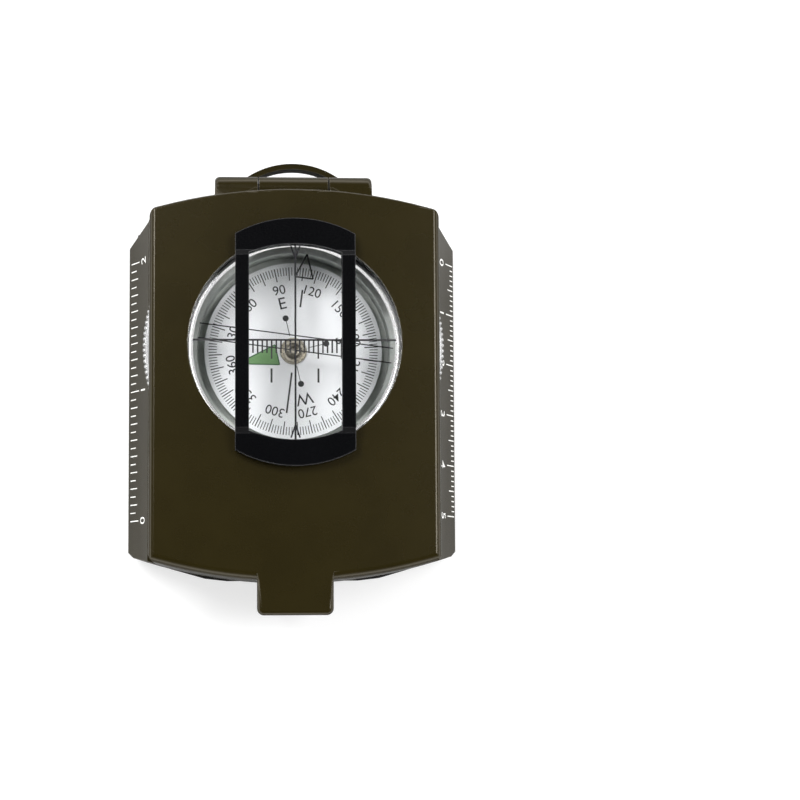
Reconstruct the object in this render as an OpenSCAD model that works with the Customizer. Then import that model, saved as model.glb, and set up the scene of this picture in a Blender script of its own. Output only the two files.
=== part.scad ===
// Pocket sighting compass: cast base with a liquid dial, hinged lid with a
// sighting frame, turning bezel, folding eyepiece and a carrying bail.
// The origin is on the dial axis at the resting face; +Y points to the hinge.

/* [Case] */
// How far the bezel stands out of the lid's sides
bezel_proud = 1.4; // [1:0.1:1.8]
// Room between the bezel and the hinge end of the case
hinge_room = 0.6; // [0.5:0.1:1]
// Room between the bezel and the latch end of the case
latch_room = 16.1; // [15.4:0.1:18]
// How far each end bows out beyond its corners
arch_rise = 4; // [3:0.2:4.6]
// Corner radius of the case in plan
corner_r = 2; // [1.4:0.1:3]
// How far the base stands out past the lid on each side
base_out = 0.5; // [0.4:0.1:0.9]
// Height of the base casting
base_h = 12.2; // [12:0.1:15]
// Wall thickness of the base casting
base_wall = 1.8; // [1.4:0.1:2.2]
// Thickness of the base's upper deck
deck_t = 1.8; // [1.4:0.1:2.2]
// Thickness of the bottom cover
cover_t = 2.2; // [1.8:0.1:3]
// Height of the lid
lid_h = 11.1; // [11:0.1:14]
// Wall thickness of the lid
lid_wall = 1.4; // [1:0.1:1.6]
// Thickness of the lid's face
lid_face_t = 1.4; // [1.1:0.1:1.8]
// Gap between the closed lid and the base
lid_gap = 0.1; // [0.05:0.05:0.2]
// Rounding of the lid's long edges
lid_edge_r = 1.2; // [0.8:0.1:1.3]
// Rounding of the lid's latch end
latch_edge_r = 1.7; // [1.3:0.1:2.4]
// Rounding of the lid's hinge end
hinge_edge_r = 0.5; // [0.3:0.1:0.8]

/* [Ruler flanks] */
// How far each ruler flank stands out past the base
flank_out = 4.1; // [3.5:0.1:4.8]
// How far each ruler flank stops short of the hinge end
flank_short = 4.2; // [3.6:0.1:6]
// Slanting cut at the hinge end of each flank
flank_cut = 4.2; // [2.6:0.1:4.6]
// Cut off each flank's corner at the latch end
flank_nick = 1; // [0.6:0.1:1.6]
// Height of the upright strip above the ruler face
strip_h = 1.2; // [0.8:0.1:2]
// Height of the tapering strip below the ruler face
skirt_h = 1.9; // [1.4:0.1:2.6]
// How far the lower strip draws in at the bottom
skirt_in = 0.9; // [0.4:0.1:1.2]

/* [Thumb tab] */
// Width of the thumb tab
tab_w = 14.4; // [12:0.2:16]
// How far the tab reaches beyond the latch end
tab_l = 6.3; // [5.4:0.1:8.4]
// Thickness of the tab
tab_t = 1.7; // [1.2:0.1:2.4]
// Corner radius of the tab
tab_r = 1.3; // [0.8:0.1:2]

/* [Lid hinge] */
// Distance of the hinge axis beyond the case
hinge_out = 2; // [1.9:0.1:2.4]
// Radius of the hinge barrels
barrel_r = 2.3; // [2.1:0.1:2.4]
// Length of the middle barrel
mid_barrel_l = 13.4; // [11:0.2:15]
// Length of each outer barrel
end_barrel_l = 8.3; // [7:0.1:10]
// Side gap between neighbouring barrels
barrel_gap = 0.3; // [0.2:0.05:0.5]
// Radius of the hinge pin
hinge_pin_r = 0.9; // [0.7:0.05:1.2]
// Room around a turning barrel
barrel_room = 0.3; // [0.2:0.05:0.4]

/* [Bail] */
// Height of the bail's pins above the resting face
bail_z = 6.2; // [5.8:0.1:6.8]
// Distance of the bail's pins beyond the case
bail_out = 1.9; // [1.8:0.1:2.3]
// Thickness of the bail strap
bail_t = 1.1; // [0.9:0.1:1.4]
// Width of the bail strap
bail_w = 3.8; // [3.4:0.1:4]
// Reach of the bail beyond its pins
bail_reach = 6.4; // [6:0.1:8]
// Distance between the bail's legs
bail_span = 19.6; // [19:0.2:20.4]
// Side gap between a bail leg and the bracket
bail_gap = 2.1; // [2:0.05:2.6]
// Radius of the bail's bow
bail_bow_r = 16; // [15:0.5:18]
// Radius of the bends between the bow and the legs
bail_bend_r = 3.2; // [2.4:0.2:3.6]
// Radius of the bail pins
bail_pin_r = 0.8; // [0.6:0.05:1]

/* [Liquid capsule] */
// Wall between the capsule bowl and the bezel's seat
collar_wall = 3.7; // [3.6:0.05:4]
// Wall thickness of the bowl
bowl_wall = 1.6; // [1.2:0.1:2]
// Thickness of the bowl's floor
bowl_floor_t = 1; // [0.8:0.1:1.4]
// Gap between the bottom cover and the bowl
bowl_lift = 6; // [5.2:0.1:6.4]
// How far the bowl's flange reaches past its wall
flange_out = 1.2; // [1:0.05:1.3]
// Thickness of the bowl's flange
flange_t = 0.8; // [0.6:0.05:1]
// Thickness of the capsule gasket
gasket_t = 0.3; // [0.2:0.05:0.5]
// Thickness of the capsule glass
capsule_glass_t = 1; // [0.8:0.1:1.2]
// Thickness of the capsule's lock ring
lock_ring_t = 0.6; // [0.4:0.05:0.8]

/* [Compass card] */
// Room between the compass card and the bowl
card_room = 1.4; // [1.1:0.1:2]
// Thickness of the compass card
card_t = 0.4; // [0.3:0.05:0.5]
// Height of the card's underside above the bowl's floor
card_lift = 2.1; // [1.9:0.1:2.6]
// Radius of the card's hub
hub_r = 2.6; // [2.2:0.1:3]
// Length of each magnet
magnet_l = 20; // [14:0.5:24]

/* [Bezel] */
// Outer radius of the knurled bezel
bezel_r = 29; // [28:0.1:32]
// Height of the knurled band
knurl_h = 3.6; // [3.2:0.1:4]
// Height of the sloping shoulder above the knurls
shoulder_h = 1.4; // [1:0.1:1.6]
// Wall of the bezel outside the collar that it turns on
bezel_wall = 5; // [4.6:0.1:5.4]
// How far the bezel's lip reaches in over the bowl
bezel_lip = 0.9; // [0.4:0.1:1.4]
// Thickness of the bezel glass
bezel_glass_t = 1; // [0.8:0.1:1.2]
// Gap between the bezel and the deck
bezel_gap = 0.2; // [0.15:0.05:0.3]

/* [Lid window] */
// How far the lid's window stands back from the bezel's opening
window_back = 0.9; // [0.4:0.1:1.1]
// How far the window glass reaches past the window
glass_lap = 0.9; // [0.7:0.05:1]
// Thickness of the window glass
window_glass_t = 1; // [0.8:0.1:1.2]
// Thickness of the window's retaining ring
retainer_t = 0.7; // [0.5:0.05:0.8]

/* [Sighting frame] */
// Width of the sighting frame
frame_w = 22.7; // [21.8:0.1:23.4]
// How far the sighting frame reaches past the window
frame_land = 3.2; // [2.9:0.05:3.4]
// How far each end of the frame bows out
frame_bow = 3; // [2:0.1:3.2]
// Width of the frame's opening
slot_w = 17.5; // [15:0.1:18]
// Width of the frame's end rails
frame_rail = 4.95; // [4.6:0.05:5.6]
// Thickness of the frame's end blocks
block_t = 2.6; // [2.3:0.1:3]
// Thickness of the frame's side bars
bar_t = 1.7; // [1.3:0.05:2]
// How far the side bars rise above the end blocks
bar_rise = 0.8; // [0.5:0.1:1.2]
// How far the raised part of the side bars stops short of the opening's ends
bar_short = 2.2; // [1.8:0.1:3.4]
// Radius of the sighting wire
wire_r = 0.18; // [0.15:0.01:0.25]

/* [Eyepiece] */
// Width of the eyepiece
eye_w = 10.8; // [9.6:0.1:11.4]
// Thickness of the eyepiece
eye_t = 3.8; // [3.4:0.1:4.4]
// Length of the eyepiece below its pivot
eye_l = 10.9; // [10.4:0.1:11.2]
// Height of the eyepiece pivot above the parting line
eye_pivot_z = 0.8; // [0.6:0.1:1.2]
// Thickness of the eyepiece bracket
eye_bracket_t = 1; // [0.8:0.1:1.2]
// Thickness of the bracket's ears
ear_t = 1.3; // [1:0.1:1.4]
// Radius of the eyepiece pin
eye_pin_r = 0.6; // [0.5:0.05:0.8]
// Radius of the magnifying lens
lens_r = 3.3; // [2.6:0.1:3.6]

/* [Spirit level] */
// Length of the level's body
level_l = 24; // [20:0.5:30]
// Width of the level's body
level_w = 6; // [5.4:0.1:7]
// Height of the level's body
level_h = 3.6; // [3.2:0.1:4.4]
// Radius of the level's vial
vial_r = 1.8; // [1.5:0.1:2]

/* [Fits] */
// Running clearance of a pin or bore, on the radius
run_gap = 0.05; // [0.03:0.01:0.08]
// Seating clearance of a piece that doesn't move, on the radius
seat_gap = 0.05; // [0.02:0.01:0.1]
// Room between parts that pass each other
part_gap = 0.3; // [0.2:0.05:0.35]

/* [Hidden] */
$fn = 96;
big_fn = 240;
through = 0.5;

// Heights of the case's main levels
z_base = cover_t;
z_part = z_base + base_h;
z_lid = z_part + lid_gap;
z_face = z_lid + lid_h;
z_lid_in = z_face - lid_face_t;

// Widths of the lid, the base and the flanks, from the bezel outwards
lid_w = 2 * (bezel_r - bezel_proud);
base_w = lid_w + 2 * base_out;
flank_w = base_w + 2 * flank_out;

// Ends of the case and the bow they share
y_hinge_end = bezel_r + hinge_room;
y_latch_end = -bezel_r - latch_room;
arch_r = (pow(lid_w / 2, 2) + pow(arch_rise, 2)) / (2 * arch_rise);
y_arch_h = y_hinge_end - arch_r;
y_arch_l = y_latch_end + arch_r;

// Ends of the ruler flanks: cut at the hinge, and on the case's bow at the latch
flank_y1 = y_hinge_end - flank_short;
flank_y0 = y_arch_l - sqrt(pow(arch_r, 2) - pow(flank_w / 2 - flank_nick, 2));

// Hinge and bail axes
hinge_y = y_hinge_end + hinge_out;
hinge_z = z_part;
bail_y = y_hinge_end + bail_out;
mid_half = mid_barrel_l / 2;
end_in = mid_half + barrel_gap;
end_out = end_in + end_barrel_l;

// Heads of the bail pins
pin_head_r = 1.7;
pin_rim_h = 0.4;
pin_cone_h = 1;
pin_tip_r = 0.5;
pin_sunk = 3.8;

// Bracket that carries the middle barrel and the bail
bracket_half = bail_span / 2 - bail_gap;
bracket_y = bail_y - part_gap;
bracket_nose_r = bail_pin_r * 2;
bracket_z0 = z_base + 0.4;
bracket_z1 = hinge_z - barrel_r - barrel_room - 0.2;

// Capsule stack, from the bowl's floor up to the lock ring
collar_r = bezel_r - bezel_wall;
bowl_r = collar_r - collar_wall;
bowl_z = cover_t + bowl_lift + 0.4;
floor_z = bowl_z + bowl_floor_t;
ledge_z = z_part + 0.2;
flange_r = bowl_r + flange_out;
gasket_z = ledge_z + flange_t;
capsule_glass_z = gasket_z + gasket_t;
lock_z = capsule_glass_z + capsule_glass_t;
collar_z = lock_z + lock_ring_t;
tube_r = bowl_r + seat_gap + 1.7;

// Card and its bearing
card_r = bowl_r - bowl_wall - card_room;
card_z = floor_z + card_lift;
magnet_h = card_lift - 0.8;
magnet_w = 1.6;
magnet_x = 4.2;
cup_r = 1.6;
cup_h = 0.8;
hub_t = 0.6;
jewel_r = 0.9;
jewel_h = 0.9;
point_gap = 0.06;
tip_z = card_z - cup_h + jewel_h * 0.6 - point_gap;

// Bezel levels
bezel_z = z_part + bezel_gap;
knurl_z = bezel_z + knurl_h;
bezel_top = knurl_z + shoulder_h;
bezel_open_r = bowl_r - bezel_lip;
shoulder_r = bezel_r - 0.4;
shoulder_top_r = bezel_r - 1.6;
snap_z = z_part + 1.6;
snap_h = 0.8;
snap_in = collar_r - 0.65;
snap_out = collar_r + 0.7;
clamp_z = collar_z + 0.2;
clamp_t = 0.4;
bezel_glass_z = clamp_z + clamp_t;
lip_z = bezel_glass_z + bezel_glass_t;
bezel_glass_r = collar_r - 1.1;

// Lid window stack, from the face down
window_r = bezel_open_r + window_back;
glass_r = window_r + glass_lap;
window_glass_z = z_lid_in - window_glass_t;
window_gasket_z = window_glass_z - gasket_t;
retainer_z = window_gasket_z - retainer_t;
boss_z = retainer_z + 0.2;
boss_r = glass_r + 1.8;
frame_screw_r = 0.55;
frame_head_r = 0.9;
frame_screw_x = 3;
frame_screw_y = sqrt(pow(glass_r + frame_head_r + 0.15, 2) - pow(frame_screw_x, 2));
pad_z = boss_z + 0.4;

// Side slots that show the bezel
side_slot_half = sqrt(pow(bezel_r + part_gap, 2) - pow(lid_w / 2 - lid_wall, 2)) + 2.6;
side_slot_z = bezel_top + 1.1;
side_slot_r = 1.5;

// Sighting frame
block_z = z_face + block_t;
bar_top = block_z + bar_rise;
bar_z = bar_top - bar_t;
frame_l = 2 * (window_r + frame_land);
slot_l = frame_l - 2 * frame_rail;
bar_l = slot_l - 2 * bar_short;
frame_arc_r = (pow(frame_w / 2, 2) + pow(frame_bow, 2)) / (2 * frame_bow);
slot_bow = 1.7;
slot_arc_r = (pow(slot_w / 2, 2) + pow(slot_bow, 2)) / (2 * slot_bow);
step_l = 1;
foot_in = bar_l / 2 - 1.4;
wire_z = bar_z + 0.35;
wire_sink = 1;
prong_x = 0.85;
prong_l = 2.5;

// Eyepiece
eye_back = y_latch_end - eye_bracket_t;
eye_pivot_y = eye_back - part_gap - eye_t / 2;
eye_z = z_part + eye_pivot_z;
eye_half = eye_w / 2;
ear_in = eye_half + 0.2;
ear_out = ear_in + ear_t;
ear_r = 1.8;
lens_z = eye_z - 6.1;
lens_t = 2;
lens_ring_t = 0.6;
lens_lip = 0.7;
lens_curve_r = 6;
sight_notch_w = 1.2;
bracket_screw_x = 4;
bracket_screw_z = z_part - 7.6;
bracket_screw_r = 0.6;
bracket_head_r = 1;
bracket_head_h = 0.5;

// Spirit level on the deck at the latch end
level_y = (y_latch_end + lid_wall - bezel_r) / 2;
vial_l = level_l * 0.62;
vial_z = z_part + level_h - vial_r * 0.55;
level_screw_x = level_l / 2 - 2.1;
level_screw_r = 0.6;
level_head_r = 1.1;
level_head_h = 0.6;
level_head_sink = 0.8;

// Screws of the bottom cover
cover_screw_x = lid_w / 2 - 4.2;
cover_screw_r = 0.9;
cover_screw_bite = 5;
cover_head_r = 1.9;
cover_head_h = 1;
cover_head_sink = 0.3;
cross_l = 2.2;
cross_w = 0.4;
cross_h = 0.5;
tongue_w = 12;
tongue_t = 1;
boss_w = 2.4;
cover_screws_at = [
    for (sx = [-1, 1], y = [y_hinge_end - 9.4, y_latch_end + 9]) [sx * cover_screw_x, y]
];

// Copies its children to both sides of the centre plane
module both_sides() {
    children();
    mirror([1, 0, 0]) children();
}

// A cylinder along X, centred at y and z, from x0 to x1
module rod_x(r, x0, x1, y, z) {
    translate([x0, y, z]) rotate([0, 90, 0]) cylinder(r = r, h = x1 - x0);
}

// A ring with a square section
module ring(r_in, r_out, z, h) {
    translate([0, 0, z]) difference() {
        cylinder(r = r_out, h = h);
        translate([0, 0, -through]) cylinder(r = r_in, h = h + 2 * through);
    }
}

// A disc whose upper rim is rounded
module rounded_disc(r, h, edge) {
    rotate_extrude($fn = big_fn) union() {
        square([r, h - edge]);
        square([r - edge, h]);
        translate([r - edge, h - edge]) circle(r = edge, $fn = 48);
    }
}

// A bar along Y whose upper long edges are rounded
module rounded_bar(half_w, y0, y1, h, edge) {
    translate([0, y1, 0]) rotate([90, 0, 0]) linear_extrude(y1 - y0) union() {
        translate([-half_w, 0]) square([2 * half_w, h - edge]);
        translate([-half_w + edge, 0]) square([2 * (half_w - edge), h]);
        for (sx = [-1, 1]) translate([sx * (half_w - edge), h - edge]) circle(r = edge, $fn = 48);
    }
}

// Plan of the case between straight sides, with round corners
module corner_plan(half_w, bow_r, round_r) {
    cx = half_w - round_r;
    reach = sqrt(pow(bow_r - round_r, 2) - pow(cx, 2));
    y1 = y_arch_h + reach;
    y0 = y_arch_l - reach;
    union() {
        translate([-cx, y0 - 10]) square([2 * cx, y1 - y0 + 20]);
        translate([-half_w, y0]) square([2 * half_w, y1 - y0]);
        for (x = [-cx, cx], y = [y0, y1]) translate([x, y]) circle(r = round_r, $fn = 48);
    }
}

// Upright prism of the case's plan, drawn in by inset all round
module case_prism(half_w, inset, z, h, round_r) {
    bow_r = arch_r - inset;
    translate([0, 0, z]) intersection() {
        translate([0, y_arch_h, 0]) cylinder(r = bow_r, h = h, $fn = big_fn);
        translate([0, y_arch_l, 0]) cylinder(r = bow_r, h = h, $fn = big_fn);
        linear_extrude(h) corner_plan(half_w - inset, bow_r, round_r);
    }
}

// Ruler flanks: the wedge section along the case, cut to its plan
module flank_block() {
    z_top = z_part - strip_h;
    z_low = z_base + skirt_h;
    half = flank_w / 2;
    intersection() {
        translate([0, flank_y1, 0]) rotate([90, 0, 0]) linear_extrude(flank_y1 - y_latch_end + 1)
            polygon([
                [-base_w / 2, z_part], [-base_w / 2, z_top], [-half, z_low],
                [-half + skirt_in, z_base], [half - skirt_in, z_base],
                [half, z_low], [base_w / 2, z_top], [base_w / 2, z_part]
            ]);
        translate([0, 0, z_base]) linear_extrude(base_h) polygon([
            [-half, flank_y0 + flank_nick], [-half + flank_nick, flank_y0],
            [-half + flank_nick, y_latch_end - 1], [half - flank_nick, y_latch_end - 1],
            [half - flank_nick, flank_y0], [half, flank_y0 + flank_nick],
            [half, flank_y1 - flank_cut], [half - flank_cut, flank_y1],
            [-half + flank_cut, flank_y1], [-half, flank_y1 - flank_cut]
        ]);
        translate([0, y_arch_l, z_base]) cylinder(r = arch_r, h = base_h, $fn = big_fn);
    }
}

module base_body() color([0.27, 0.25, 0.19]) difference() {
    union() {
        difference() {
            union() {
                case_prism(base_w / 2, 0, z_base, base_h, corner_r);
                flank_block();
            }
            case_prism(base_w / 2, base_wall, z_base - through, base_h - deck_t + through, corner_r * 0.6);
            for (s = [-1, 1]) rod_x(barrel_r + barrel_room, s * end_out - (s > 0 ? end_barrel_l + 0.2 : 0.3),
                s * end_out + (s > 0 ? 0.3 : end_barrel_l + 0.2), hinge_y, hinge_z);
        }
        translate([0, 0, bowl_z]) cylinder(r = tube_r, h = z_part - bowl_z);
        translate([0, 0, z_part - deck_t]) cylinder(r = collar_r, h = collar_z - z_part + deck_t);
        for (p = cover_screws_at) translate([p[0], p[1], z_base]) cylinder(r = boss_w, h = base_h - deck_t + 0.2);
        translate([-bracket_half, y_hinge_end - base_wall, bracket_z0])
            cube([2 * bracket_half, bracket_y - y_hinge_end + base_wall, bracket_z1 - bracket_z0]);
        rod_x(bracket_nose_r, -bracket_half, bracket_half, bail_y, bail_z);
        translate([-mid_half, 0, 0]) rotate([90, 0, 90]) linear_extrude(2 * mid_half) polygon([
            [y_hinge_end - base_wall, bracket_z0], [bracket_y, bracket_z0], [bracket_y, bracket_z1],
            [hinge_y + barrel_r * 0.6, hinge_z - barrel_r * 0.6], [hinge_y + barrel_r * 0.6, hinge_z],
            [y_hinge_end - base_wall, hinge_z]
        ]);
        rod_x(barrel_r, -mid_half, mid_half, hinge_y, hinge_z);
    }
    translate([0, 0, bowl_z - through]) cylinder(r = bowl_r + seat_gap, h = collar_z - bowl_z + 2 * through);
    translate([0, 0, ledge_z]) cylinder(r = flange_r + seat_gap, h = collar_z - ledge_z + through);
    translate([0, 0, snap_z - 0.1]) difference() {
        cylinder(r = collar_r + 1, h = snap_h + 0.2);
        translate([0, 0, -through]) cylinder(r = snap_in - 0.1, h = snap_h + 0.2 + 2 * through);
    }
    for (p = cover_screws_at) translate([p[0], p[1], z_base - through])
        cylinder(r = cover_screw_r + seat_gap, h = cover_screw_bite + 1 + through);
    rod_x(hinge_pin_r + run_gap, -mid_half - through, mid_half + through, hinge_y, hinge_z);
    both_sides() rod_x(bail_pin_r + seat_gap, bracket_half - pin_sunk - 0.2, bracket_half + through, bail_y, bail_z);
    for (sx = [-1, 1]) translate([sx * level_screw_x, level_y, z_part - deck_t - through])
        cylinder(r = level_screw_r + seat_gap, h = deck_t + 2 * through);
    for (sx = [-1, 1]) translate([sx * bracket_screw_x, y_latch_end + base_wall + 1, bracket_screw_z])
        rotate([90, 0, 0]) cylinder(r = bracket_screw_r + seat_gap, h = base_wall + 2);
}

module bottom_cover() color([0.03, 0.03, 0.03]) difference() {
    y1 = y_hinge_end + 0.3;
    y0 = y_latch_end + 0.55;
    half = flank_w / 2 - skirt_in - 0.6;
    union() {
        intersection() {
            translate([-half, 0, 0]) rotate([90, 0, 90]) linear_extrude(2 * half) polygon([
                [y1 - 3.3, 0], [y1, cover_t], [y0, cover_t], [y0 + 2.8, 0]
            ]);
            rotate([90, 0, 0]) translate([0, 0, -y1]) linear_extrude(y1 - y0) polygon([
                [-half + 1.2, 0], [half - 1.2, 0], [half, cover_t], [-half, cover_t]
            ]);
            linear_extrude(cover_t) polygon([
                [-half * 0.42, y0], [half * 0.42, y0], [half * 0.56, y0 + 0.5],
                [half * 0.78, y0 + 2.45], [half, y0 + 5.2],
                [half, y1 - 5.6], [half * 0.65, y1 - 1.6], [half * 0.29, y1], [-half * 0.29, y1],
                [-half * 0.65, y1 - 1.6], [-half, y1 - 5.6], [-half, y0 + 5.2], [-half * 0.78, y0 + 2.45],
                [-half * 0.56, y0 + 0.5]
            ]);
        }
        translate([-tongue_w / 2, y1 - 4, cover_t - tongue_t])
            cube([tongue_w, bail_y + 0.9 - y1 + 4, tongue_t]);
    }
    for (p = cover_screws_at) {
        translate([p[0], p[1], -through]) cylinder(r = cover_screw_r + seat_gap, h = cover_t + 2 * through);
        translate([p[0], p[1], -through]) cylinder(r = cover_head_r + 0.1, h = cover_head_sink + through);
        translate([p[0], p[1], cover_head_sink])
            cylinder(r1 = cover_head_r + 0.1, r2 = cover_screw_r + 0.1, h = cover_head_h);
    }
}

module cover_screws() color([0.35, 0.35, 0.36]) for (p = cover_screws_at)
    translate([p[0], p[1], cover_head_sink]) difference() {
        union() {
            cylinder(r1 = cover_head_r, r2 = cover_screw_r, h = cover_head_h);
            cylinder(r = cover_screw_r, h = cover_t + cover_screw_bite);
        }
        for (a = [0, 90]) rotate(a) translate([-cross_l / 2, -cross_w / 2, -through])
            cube([cross_l, cross_w, cross_h + through]);
    }

module hinge_pin() color([0.6, 0.6, 0.6])
    rod_x(hinge_pin_r, -end_out, end_out - 0.8, hinge_y, hinge_z);

module bail_pins() color([0.85, 0.85, 0.86]) both_sides() {
    x_head = bail_span / 2 + bail_t + 0.05;
    rod_x(bail_pin_r, bracket_half - pin_sunk, x_head, bail_y, bail_z);
    translate([x_head, bail_y, bail_z]) rotate([0, 90, 0]) {
        cylinder(r = pin_head_r, h = pin_rim_h);
        translate([0, 0, pin_rim_h]) cylinder(r1 = pin_head_r, r2 = pin_tip_r, h = pin_cone_h);
    }
}

module capsule_bowl() color([0.75, 0.78, 0.76]) difference() {
    union() {
        translate([0, 0, bowl_z]) cylinder(r = bowl_r, h = ledge_z - bowl_z + flange_t);
        translate([0, 0, ledge_z]) cylinder(r = flange_r, h = flange_t);
    }
    translate([0, 0, floor_z]) cylinder(r = bowl_r - bowl_wall, h = ledge_z);
}

module capsule_gasket() color([0.6, 0.63, 0.6])
    ring(bowl_r - bowl_wall + 0.1, flange_r, gasket_z, gasket_t);

module capsule_glass() color([0.8, 0.9, 0.9, 0.35])
    translate([0, 0, capsule_glass_z]) cylinder(r = flange_r, h = capsule_glass_t);

module capsule_lock_ring() color([0.5, 0.5, 0.48])
    ring(bowl_r - 0.4, flange_r, lock_z, lock_ring_t);

module pivot_post() color([0.72, 0.6, 0.35]) translate([0, 0, floor_z]) {
    cylinder(r = 2.6, h = 0.5);
    cylinder(r = 0.5, h = tip_z - floor_z - 0.7);
    translate([0, 0, tip_z - floor_z - 0.7]) cylinder(r1 = 0.5, r2 = 0.06, h = 0.7);
}

module bezel_snap_ring() color([0.7, 0.7, 0.7]) difference() {
    ring(snap_in, snap_out, snap_z, snap_h);
    translate([-1.5, -collar_r - 2, snap_z - through]) cube([3, 4, snap_h + 2 * through]);
}

module eyepiece_bracket() color([0.04, 0.04, 0.04]) difference() {
    union() {
        translate([-ear_out, eye_back, z_base + 0.7])
            cube([2 * ear_out, eye_bracket_t, z_part - 0.2 - z_base - 0.7]);
        both_sides() hull() {
            rod_x(ear_r, ear_in, ear_out, eye_pivot_y, eye_z);
            translate([ear_in, eye_back, z_part - 4.6]) cube([ear_t, 0.4, 4.4]);
        }
    }
    rod_x(eye_pin_r + seat_gap, -ear_out - through, ear_out + through, eye_pivot_y, eye_z);
    for (sx = [-1, 1]) translate([sx * bracket_screw_x, eye_back + 2, bracket_screw_z]) rotate([90, 0, 0]) {
        cylinder(r = bracket_screw_r + seat_gap, h = 4);
        translate([0, 0, 2 - bracket_head_h - 0.1]) cylinder(r = bracket_head_r + 0.1, h = 2);
    }
}

module bracket_screws() color([0.35, 0.35, 0.36])
    for (sx = [-1, 1]) translate([sx * bracket_screw_x, eye_back + 0.1, bracket_screw_z]) rotate([-90, 0, 0]) {
        cylinder(r = bracket_head_r, h = bracket_head_h);
        cylinder(r = bracket_screw_r, h = eye_bracket_t + base_wall + 0.6);
    }

module eyepiece_pin() color([0.6, 0.6, 0.6])
    rod_x(eye_pin_r, -ear_out, ear_out, eye_pivot_y, eye_z);

module level_body() color([0.06, 0.06, 0.06]) difference() {
    translate([-level_l / 2, level_y - level_w / 2, z_part]) cube([level_l, level_w, level_h]);
    rod_x(vial_r + seat_gap, -vial_l / 2 - 0.1, vial_l / 2 + 0.1, level_y, vial_z);
    translate([-vial_l / 2 - 0.1, level_y - vial_r * 0.7, vial_z])
        cube([vial_l + 0.2, vial_r * 1.4, level_h]);
    for (sx = [-1, 1]) translate([sx * level_screw_x, level_y, z_part - through]) {
        cylinder(r = level_screw_r + seat_gap, h = level_h + 2 * through);
        translate([0, 0, level_h + through - level_head_sink]) cylinder(r = level_head_r + 0.1, h = 2);
    }
}

module level_vial() color([0.7, 0.9, 0.4, 0.6]) rod_x(vial_r, -vial_l / 2, vial_l / 2, level_y, vial_z);

module level_screws() color([0.6, 0.6, 0.6])
    for (sx = [-1, 1]) translate([sx * level_screw_x, level_y, z_part - deck_t]) {
        cylinder(r = level_screw_r, h = deck_t + level_h - level_head_sink);
        translate([0, 0, deck_t + level_h - level_head_sink]) cylinder(r = level_head_r, h = level_head_h);
    }

// Outside of the lid, with its rounded long edges and ends
module lid_outside() {
    translate([0, 0, z_lid]) intersection() {
        rounded_bar(lid_w / 2, y_latch_end - 1, y_hinge_end + 1, lid_h, lid_edge_r);
        translate([0, y_arch_h, 0]) rounded_disc(arch_r, lid_h, hinge_edge_r);
        translate([0, y_arch_l, 0]) rounded_disc(arch_r, lid_h, latch_edge_r);
        linear_extrude(lid_h) corner_plan(lid_w / 2, arch_r, corner_r);
    }
}

// Thumb tab with round outer corners
module thumb_tab() {
    y_tip = y_latch_end - tab_l;
    translate([0, 0, z_face - tab_t]) linear_extrude(tab_t) union() {
        translate([-tab_w / 2, y_tip + tab_r]) square([tab_w, tab_l - tab_r + latch_edge_r + 1]);
        translate([-tab_w / 2 + tab_r, y_tip]) square([tab_w - 2 * tab_r, tab_r + 1]);
        for (sx = [-1, 1]) translate([sx * (tab_w / 2 - tab_r), y_tip + tab_r]) circle(r = tab_r, $fn = 48);
    }
}

// One outer hinge barrel of the lid with its web and gusset
module lid_knuckle() {
    rod_x(barrel_r, end_in, end_out, hinge_y, hinge_z);
    translate([end_in, 0, 0]) rotate([90, 0, 90]) linear_extrude(end_barrel_l) polygon([
        [y_hinge_end - lid_wall * 0.8, z_lid], [hinge_y, z_lid], [hinge_y, hinge_z + barrel_r],
        [y_hinge_end - lid_wall * 0.8, hinge_z + barrel_r + 0.6]
    ]);
    translate([0, 0, hinge_z + 1]) linear_extrude(barrel_r + 0.8) polygon([
        [end_in, y_hinge_end - lid_wall * 0.8], [end_in + 5.6, y_hinge_end - lid_wall * 0.8],
        [end_in + 0.6, hinge_y - 0.4], [end_in, hinge_y - 0.4]
    ]);
}

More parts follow.
